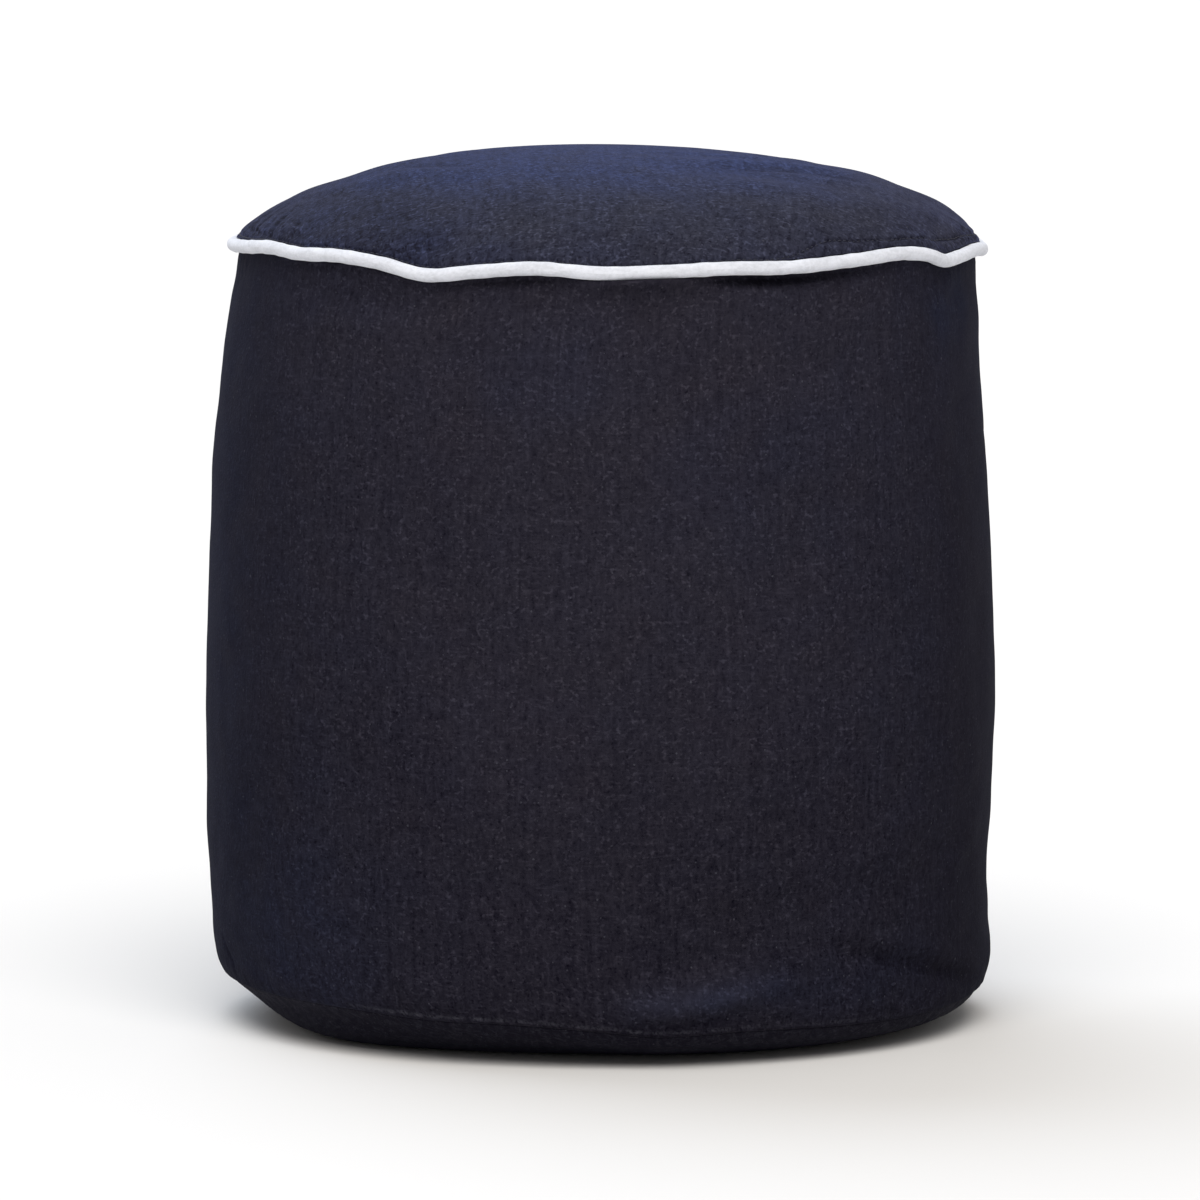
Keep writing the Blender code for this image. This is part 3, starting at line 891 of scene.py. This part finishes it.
def blown_out(rings, held):
    """How far each point of a closed grid of cloth moves when the filling presses it out while
    its held rows stay. The cloth is cut a little too large, so it gathers between its seams."""
    mesh = grid_mesh("trial_cloth", rings, rings[[0, -1]].mean(axis=1))
    trial = put_in_scene("trial_cloth", mesh)
    scene = bpy.context.scene
    count = rings.shape[1]
    fixed = (np.array(held)[:, None] * count + np.arange(count)).ravel().tolist()
    poles = [rings.shape[0] * count, rings.shape[0] * count + 1]
    trial.vertex_groups.new(name="held").add(fixed + poles, 1.0, "REPLACE")
    cloth = trial.modifiers.new("bead_filling", "CLOTH")
    for name, value in TRIAL_CLOTH.items():
        setattr(cloth.settings, name, value)
    cloth.settings.effector_weights.gravity = 0
    cloth.collision_settings.use_collision = False
    cloth.point_cache.frame_start = 1
    cloth.point_cache.frame_end = TRIAL_FRAMES
    for frame_number in range(1, TRIAL_FRAMES + 1):
        scene.frame_set(frame_number)
    seen = trial.evaluated_get(bpy.context.evaluated_depsgraph_get())
    points = np.empty(len(seen.data.vertices) * 3, np.float32)
    seen.data.vertices.foreach_get("co", points)
    moved = points.reshape(-1, 3)[:-2].reshape(rings.shape) - rings
    bpy.data.objects.remove(trial)
    bpy.data.meshes.remove(mesh)
    scene.frame_set(1)
    return moved


def finer(field, rows_from, rows_to, count):
    """A field on a coarse grid, read at the rows and columns of a finer one and smoothed."""
    at = np.arange(count) * field.shape[1] / count
    column = np.arange(field.shape[1])
    wide = np.stack([np.interp(at, column, row, period=field.shape[1]) for row in field])
    share = np.interp(rows_to, rows_from, np.arange(len(rows_from)))
    low = np.clip(share.astype(int), 0, len(rows_from) - 2)
    part = (share - low)[:, None]
    out = (1 - part) * wide[low] + part * wide[low + 1]
    for _ in range(3):
        out = (np.roll(out, 1, axis=1) + 2 * out + np.roll(out, -1, axis=1)) / 4
        out[1:-1] = (out[:-2] + 2 * out[1:-1] + out[2:]) / 4
    return out


def gathers(rows_to):
    """The wall's folds between its seams, from the trial cloth: its movement along the normal,
    capped, with what is wider than the widest fold taken out so that the outline stays."""
    rings, _ = settled(columns(TRIAL_COLUMNS), wall_outline(TRIAL_ROWS))
    held = [0, 1, TRIAL_ROWS - 2, TRIAL_ROWS - 1]
    out = (blown_out(rings, held) * normals_of(rings)).sum(axis=2)
    wave = np.fft.rfft(np.clip(out, -MOST_MOVEMENT, MOST_MOVEMENT), axis=1)
    turns = np.arange(wave.shape[1])
    wave *= ramp(turns * WIDEST_FOLD / (2 * math.pi * FULL_RADIUS), 0.6, 1.4)
    out = np.fft.irfft(wave, TRIAL_COLUMNS, axis=1)
    return finer(out, np.linspace(0, 1, TRIAL_ROWS), rows_to, COLUMNS)


def to_front(azimuth):
    """How squarely the wall faces the front or back: the cosine of the azimuth without its sign."""
    return np.abs(np.cos(np.radians(azimuth)))


def base_ruffle(azimuth, level):
    """Uneven waves of the wall's lower edge, which fall off as exp(-height above the seam / 8 mm)."""
    fall = np.exp((BASE_SEAM_HEIGHT - level) / (8 * MM))
    return ripple(azimuth, FULL_RADIUS, 11 * MM, 22) * fall


def wall_relief(azimuth, level, ruffle):
    """How far the wall stands out past its folds: the soft crumple and the gathers of the trial
    cloth, both calmer at the sides, the puckers along its seams, fine creases and tucks."""
    rows = len(level)
    to_side = 0.35 + 0.65 * ramp(to_front(azimuth), 0.1, 0.5)
    crumple = band_field(rows, COLUMNS, WALL_ROW_STEP, 75 * MM, 0.8, 11)
    crumple += 0.5 * band_field(rows, COLUMNS, WALL_ROW_STEP, 34 * MM, 0.7, 12)
    gathered = np.zeros((rows, COLUMNS))
    gathered[GROOVE_ROWS : GROOVE_ROWS + WALL_ROWS] = gathers(np.linspace(0, 1, WALL_ROWS))
    below_cord = TOP_SEAM_HEIGHT - CORD_RADIUS - level
    above_base = level - BASE_SEAM_HEIGHT
    top_pucker = ripple(azimuth, FULL_RADIUS, 13 * MM, 21) * np.exp(-below_cord / (9 * MM))
    away = ramp(below_cord, 0, 14 * MM) * ramp(above_base, 0, 14 * MM)
    held = ramp(below_cord, 0, 3 * MM) * ramp(above_base, 0, 2.5 * MM)
    hug = np.exp(-(((below_cord - 0.5 * MM) / (4 * MM)) ** 2)) * ramp(below_cord, -1.6 * MM, 0.4 * MM)
    return (
        (sizes().crumple * crumple * away + gathered) * to_side
        + sizes().pucker * (0.4 * top_pucker + 0.3 * ruffle) * held
        + MM * round_the_bag(CORD_HUG, azimuth) * hug
        + MM * folds_of(FINE_CREASES, azimuth, level) * away
        + MM * tucks_of(SEAM_TUCKS, azimuth, level) * held
    )


def wall_paleness_and_painted_light(azimuth, height):
    """The wall's finish, much of it painted light. It is paler up the wall and paler, greyer and more
    flecked where it faces the front or back: the darkening towards the bottom and the sides is painted
    shade, and the bluer sides are a painted bluish sheen. It is paler on the fine creases' ridges and
    darker in their troughs, painted highlight and shade, and the listed patches add a painted highlight
    on the bulge above the base seam, painted shade round it and paler, darker and bluer patches."""
    facing = to_front(azimuth)
    full = ramp(facing, 0.32, 0.78)
    # Painted shade: darker towards the bottom and, by facing and full, towards the sides; the fine
    # creases' ridges get painted highlight and their troughs painted shade
    up = 0.18 * ramp(height, 40 * MM, 280 * MM) + 0.09 * ramp(height, 280 * MM, 360 * MM)
    painted_crease_light = folds_of(FINE_CREASES, azimuth, height) / 14
    rub_and_painted_light = 0.49 + up + 0.17 * facing + 0.22 * full + painted_crease_light + folds_of(RUBBED_AND_PAINTED_LIGHT, azimuth, height)
    # Painted bluish sheen: the pale threads are bluer towards the sides
    navy_and_sheen = 0.9 - 0.8 * facing**0.7 + folds_of(BLUED_AND_PAINTED_SHEEN, azimuth, height)
    return {"heather": 0.25 + 0.35 * full, "rub_and_painted_light": rub_and_painted_light, "navy_and_sheen": navy_and_sheen}


class BEANBAG_OT_side_wall(bpy.types.Operator):
    """The filled side wall: the boxing strip with its folds, puckers and rolled edges"""

    bl_idname = "beanbag.side_wall"
    bl_label = "Side Wall"

    def execute(self, context):
        crown = inset(crown_outline(HIDDEN_CROWN_ROWS), CLOTH + GAP)
        base = base_outline(2, 30)
        wall = np.vstack([groove_outline(), wall_outline(WALL_ROWS), rim_outline(base)])
        floor = inset(base_outline(2, HIDDEN_BASE_ROWS), -CLOTH - GAP)
        outline = np.vstack([crown[1:], wall, floor[:0:-1]])
        azimuth = columns(COLUMNS)
        rings, height = settled(azimuth, outline)

        shown = slice(len(crown) - 1, len(crown) - 1 + len(wall))
        level = height[shown]
        ruffle = base_ruffle(azimuth, level)
        rings[shown] += normals_of(rings)[shown] * wall_relief(azimuth, level, ruffle)[..., None]
        poles = settle(0, 0, [crown[0, 1], floor[0, 1]])
        mesh = grid_mesh("side_wall_cloth", rings, poles, level_uv(azimuth, outline))
        wear = np.zeros(rings.shape[:2])
        ridge = np.clip(ruffle * 0.25 + 0.35, 0, 1) * round_the_bag(SEAM_RUB, azimuth)
        wear[shown] = ridge * np.exp(-((level - WORN_HEIGHT) / (0.5 * MM)) ** 2)
        add_finish(mesh, wear.shape, wear=wear, **wall_paleness_and_painted_light(azimuth, height))
        denim = denim_material("heathered_denim", (0.82, 0.81, 0.86), colours().wall_blue_and_sheen, 0.012, 0.03)
        piece = add_piece(mesh, denim, "denim", "side_wall")
        return {"FINISHED"}


def crown_surface(azimuth, rows):
    """The top panel's outer face: its outline, settled rings, distance from the edge and its paleness,
    which is lowered in the stitch trough as painted shade and raised and lowered along its nips and
    creases as painted highlight and shade."""
    outline = crown_outline(rows)
    down = length_down(outline)
    from_edge = (down[-1] - down)[:, None]
    rings, _ = settled(azimuth, outline)
    gather = round_the_bag(CROWN_GATHER, azimuth)
    slanted = azimuth + np.degrees(0.7 * from_edge / TOP_PANEL_EDGE)
    pucker = ripple(slanted, TOP_PANEL_EDGE, 8.5 * MM, 31) * np.exp(-from_edge / (6 * MM))
    long_fold = ripple(slanted, TOP_PANEL_EDGE, 30 * MM, 32) * np.exp(-from_edge / (18 * MM))
    offset = MM * round_the_bag(STITCH_OFFSET, azimuth)
    trough = np.exp(-(((from_edge - offset) / (1.1 * MM)) ** 2))
    welt = np.exp(-(((from_edge - 0.5 * offset) / (0.32 * offset + 0.4 * MM)) ** 2))
    pinch = ripple(azimuth, TOP_PANEL_EDGE, 3.9 * MM, 34) * welt * np.clip(offset / (5 * MM), 0, 1)
    crumple = band_field(rows + 1, len(azimuth), CROWN_ROW_STEP, 60 * MM, 0.8, 33)
    calm = ramp(outline[:, :1], 40 * MM, 120 * MM)
    nips = folds_of(CROWN_NIPS, azimuth, from_edge) + tucks_of(CROWN_TUCKS, slanted, from_edge)
    nips *= MM * ramp(from_edge, 0, 3 * MM)
    creases = MM * crown_folds(FINE_CROWN_FOLDS, rings[..., 0], rings[..., 1])
    # Painted shade in the stitch trough, and painted highlight and shade along the nips and creases
    rub_and_painted_light = 0.98 - 0.35 * trough * ramp(offset, 1.5 * MM, 3.5 * MM)
    rub_and_painted_light += np.clip((nips + creases) / (5 * MM), -0.3, 0.2)
    out = (
        sizes().pucker * gather * (0.55 * pucker + 0.8 * long_fold) * ramp(from_edge, 0, 3 * MM)
        - 0.8 * MM * trough
        + 0.45 * MM * welt * np.clip(offset / (4 * MM), 0, 1)
        + 0.16 * MM * pinch
        + nips
        + creases
        + sizes().crumple * 0.6 * crumple * calm * ramp(from_edge, 0, 14 * MM)
    )
    rings[1:] += normals_of(rings[1:]) * out[1:, :, None]
    return outline, rings, from_edge, rub_and_painted_light


class BEANBAG_OT_top_panel(bpy.types.Operator):
    """The crowned top panel, gathered into the top seam"""

    bl_idname = "beanbag.top_panel"
    bl_label = "Top Panel"

    def execute(self, context):
        azimuth = columns(CROWN_COLUMNS)
        outline, rings, _, rub_and_painted_light = crown_surface(azimuth, CROWN_ROWS)
        under = inset(crown_outline(8), CLOTH)[:0:-1]
        rub_and_painted_light = np.concatenate([rub_and_painted_light[1:], np.full((len(under), CROWN_COLUMNS), 0.9)])
        rings = np.concatenate([rings[1:], settled(azimuth, under)[0]])
        # Painted light on the crown: towards its top it is paler and bluer, a painted highlight and
        # bluish sheen, and towards its left bluer and darker, painted bluish light and shade
        high = ramp(rings[..., 2], 428 * MM, 452 * MM)
        left = ramp(-rings[..., 0], 20 * MM, 130 * MM)
        rub_and_painted_light += 0.30 * high - 0.16 * left
        navy_and_sheen = 0.20 + 0.80 * high + 0.35 * left
        poles = settle(0, 0, [TOP_OF_BAG, TOP_OF_BAG - CLOTH])
        uv = np.concatenate([flat_uv(azimuth, outline)[1:], flat_uv(azimuth, under[::-1])[::-1]])
        mesh = grid_mesh("top_panel_cloth", rings, poles, uv)
        add_finish(mesh, rings.shape[:2], 0.80 + 0.10 * high, rub_and_painted_light=rub_and_painted_light, navy_and_sheen=navy_and_sheen)
        # A lighter, bluer copy of the wall's denim: its dye is painted light from above, and its sheen
        # weight is higher
        denim = denim_material("crown_denim_painted_light", (1.15, 1.26, 1.36), colours().crown_blue_and_sheen, 0.14, 0.08)
        piece = add_piece(mesh, denim, "denim", "top_panel")
        return {"FINISHED"}


class BEANBAG_OT_base_panel(bpy.types.Operator):
    """The base panel, flat on the floor and turned up to the base seam"""

    bl_idname = "beanbag.base_panel"
    bl_label = "Base Panel"

    def execute(self, context):
        azimuth = columns(COLUMNS)
        outline = base_outline(6, BASE_ROWS)
        inner = inset(base_outline(2, 8), -CLOTH)[1:]
        rings, height = settled(azimuth, outline[::-1])
        pucker = ripple(azimuth, BASE_EDGE, 14 * MM, 41) * ramp(height, 3 * MM, 14 * MM)
        held = 1 - 0.7 * ramp(height, 18 * MM, BASE_SEAM_HEIGHT)
        out = sizes().pucker * 0.3 * pucker * held
        rings += normals_of(rings) * out[..., None]
        rings = np.concatenate([settled(azimuth, inner)[0], rings[:-1]])
        uv = np.concatenate([flat_uv(azimuth, inner), flat_uv(azimuth, outline)[:0:-1]])
        mesh = grid_mesh("base_panel_cloth", rings, settle(0, 0, [CLOTH, 0]), uv)
        # Painted shade: with little paleness and its own dye the base panel is darker than the wall,
        # standing in for the shade under the bag
        add_finish(mesh, rings.shape[:2], 0.40, rub_and_painted_light=0.4)
        shaded_base_denim = denim_material("base_denim_painted_shade", (1.5, 1.56, 1.42), colours().wall_blue_and_sheen, 0.012, 0.06)
        piece = add_piece(mesh, shaded_base_denim, "denim", "base_panel")
        return {"FINISHED"}


class BEANBAG_OT_piping(bpy.types.Operator):
    """The white piping in the top seam, with its lapped join at the back"""

    bl_idname = "beanbag.piping"
    bl_label = "Piping"

    def execute(self, context):
        azimuth = columns(CORD_COLUMNS)
        line = settle(azimuth, CORD_LINE_RADIUS, TOP_SEAM_HEIGHT)
        ahead = run_of(line)
        turn = np.radians(azimuth)
        out = np.stack([np.sin(turn), -np.cos(turn), np.zeros(len(turn))], axis=-1)
        out = unit(out - ahead * (out * ahead).sum(axis=1)[:, None])
        side = np.arange(CORD_SIDES) * 2 * math.pi / CORD_SIDES
        lumps = 0.06 * MM * ripple(azimuth, CORD_LINE_RADIUS, 16 * MM, 51)
        twist = np.cos(turn[:, None] * 96 + 2 * side)
        wrinkle = 0.035 * MM * twist * ripple(azimuth, CORD_LINE_RADIUS, 24 * MM, 52)[:, None]
        lap = 0.55 * MM * (1 - ramp(np.abs(turn_from(azimuth, JOIN)), 2.4, 2.9))
        radius = sizes().cord_radius - 0.15 * MM + lumps[:, None] + wrinkle + lap[:, None]
        rings = rings_round(line, out, np.cross(ahead, out), radius, CORD_SIDES)
        mesh = cord_mesh("top_piping_cloth", rings)
        add_piece(mesh, cotton_material(), "piping", "top_piping")
        return {"FINISHED"}


class BEANBAG_OT_stitches(bpy.types.Operator):
    """The topstitching above the piping: short runs of thread sunk into their trough"""

    bl_idname = "beanbag.stitches"
    bl_label = "Topstitching"

    def execute(self, context):
        count = round(2 * math.pi * TOP_PANEL_EDGE / sizes().stitch)
        azimuth = columns(count)
        _, rings, from_edge, _ = crown_surface(azimuth, rows=160)
        offset = MM * round_the_bag(STITCH_OFFSET, azimuth)
        row = np.abs(from_edge - offset).argmin(axis=0)
        place = rings[row, np.arange(count)]
        normal = normals_of(rings)[row, np.arange(count)]
        ahead = run_of(place)
        across = np.cross(normal, ahead)
        half = sizes().stitch * np.random.default_rng(61).uniform(0.28, 0.44, (count, 1, 1))
        thick = sizes().thread / 2
        way = np.linspace(-1, 1, 7)
        width = thick * np.sqrt(np.clip(1 - way**4, 0.04, 1))
        lift = thick * (1.1 - 1.5 * way**2)
        middle = (
            place[:, None]
            + ahead[:, None] * half * way[None, :, None]
            + normal[:, None] * lift[None, :, None]
        )
        rings = rings_round(middle, across[:, None], normal[:, None], width[:, None], sides=6)
        mesh = thread_mesh("topstitching", rings)
        add_piece(mesh, thread_material(), "denim")
        return {"FINISHED"}


class BEANBAG_OT_stage(bpy.types.Operator):
    """The pale floor, the soft light and the camera"""

    bl_idname = "beanbag.stage"
    bl_label = "Stage"

    def execute(self, context):
        self.lay_floor()
        self.set_light(context.scene)
        self.set_camera(context.scene)
        context.scene.view_settings.view_transform = "Standard"
        return {"FINISHED"}

    def lay_floor(self):
        half = 45
        mesh = bpy.data.meshes.new("pale_floor")
        corners = [(-half, -half, 0), (half, -half, 0), (half, half, 0), (-half, half, 0)]
        mesh.from_pydata(corners, [], [(0, 1, 2, 3)])
        floor = put_in_scene("pale_floor", mesh)
        n = Nodes("pale_floor")
        place = n.put("ShaderNodeTexCoord", 3, {})
        plain = tuple(colours().floor)
        faint = tuple(0.985 * c for c in plain)
        uneven = n.mix(n.noise(place, 3.0), plain, faint)
        n.finish(Base_Color=uneven, Roughness=0.9, Specular_IOR_Level=0.1)
        mesh.materials.append(n.material)

    def set_light(self, scene):
        world = bpy.data.worlds.new("soft_studio")
        world.use_nodes = True
        shade = world.node_tree.nodes["Background"]
        shade.inputs["Color"].default_value = (0.98, 0.98, 1.0, 1)
        shade.inputs["Strength"].default_value = 0.45
        scene.world = world
        self.add_soft_light("key_light", (0.05, -0.72, 1.0), 45, 2.3, (1, 0.985, 0.96))
        self.add_soft_light("back_light", (-0.45, 0.75, 1.0), 50, 1.7, (0.78, 0.87, 1.0))

    def add_soft_light(self, name, towards, spread, strength, tint):
        """An even light from far off, as wide as the spread in degrees."""
        light = bpy.data.lights.new(name, "SUN")
        light.angle = math.radians(spread)
        light.energy = strength
        light.color = tint
        lamp = put_in_scene(name, light)
        lamp.rotation_euler = Vector(towards).to_track_quat("Z", "Y").to_euler()

    def set_camera(self, scene):
        elevation = math.radians(6.0)
        distance = 4.8
        aim = Vector((-0.3 * MM, 0, 217.7 * MM))
        pixels, pixel, sensor = 1200, 0.5222 * MM, 36
        lens = bpy.data.cameras.new("photo_view")
        lens.sensor_width = sensor
        lens.lens = sensor * distance / (pixels * pixel)
        lens.clip_end = 200
        camera = put_in_scene("photo_view", lens)
        back = Vector((0, -math.cos(elevation), math.sin(elevation)))
        camera.location = aim + distance * back
        camera.rotation_euler = (-back).to_track_quat("-Z", "Y").to_euler()
        scene.camera = camera


class BEANBAG_PT_panel(bpy.types.Panel):
    """Lists the bag's pieces with their sizes and colours"""

    bl_idname = "BEANBAG_PT_panel"
    bl_label = "Bean Bag"
    bl_space_type = "VIEW_3D"
    bl_region_type = "UI"
    bl_category = "Bean Bag"

    def draw(self, context):
        for group in (sizes(), colours()):
            for name in group.__annotations__:
                self.layout.prop(group, name)
        for operator in OPERATORS:
            self.layout.operator(operator.bl_idname)


OPERATORS = (
    BEANBAG_OT_stage,
    BEANBAG_OT_side_wall,
    BEANBAG_OT_top_panel,
    BEANBAG_OT_base_panel,
    BEANBAG_OT_piping,
    BEANBAG_OT_stitches,
)
CLASSES = (BagSizes, BagColours, *OPERATORS, BEANBAG_PT_panel)


def register():
    for each in CLASSES:
        bpy.utils.register_class(each)
    bpy.types.Scene.bean_bag_sizes = bpy.props.PointerProperty(type=BagSizes)
    bpy.types.Scene.bean_bag_colours = bpy.props.PointerProperty(type=BagColours)


def unregister():
    del bpy.types.Scene.bean_bag_colours
    del bpy.types.Scene.bean_bag_sizes
    for each in reversed(CLASSES):
        bpy.utils.unregister_class(each)


def main():
    register()
    bpy.ops.beanbag.stage()
    bpy.ops.beanbag.side_wall()
    bpy.ops.beanbag.top_panel()
    bpy.ops.beanbag.base_panel()
    bpy.ops.beanbag.piping()
    bpy.ops.beanbag.stitches()


if __name__ == "__main__":
    main()
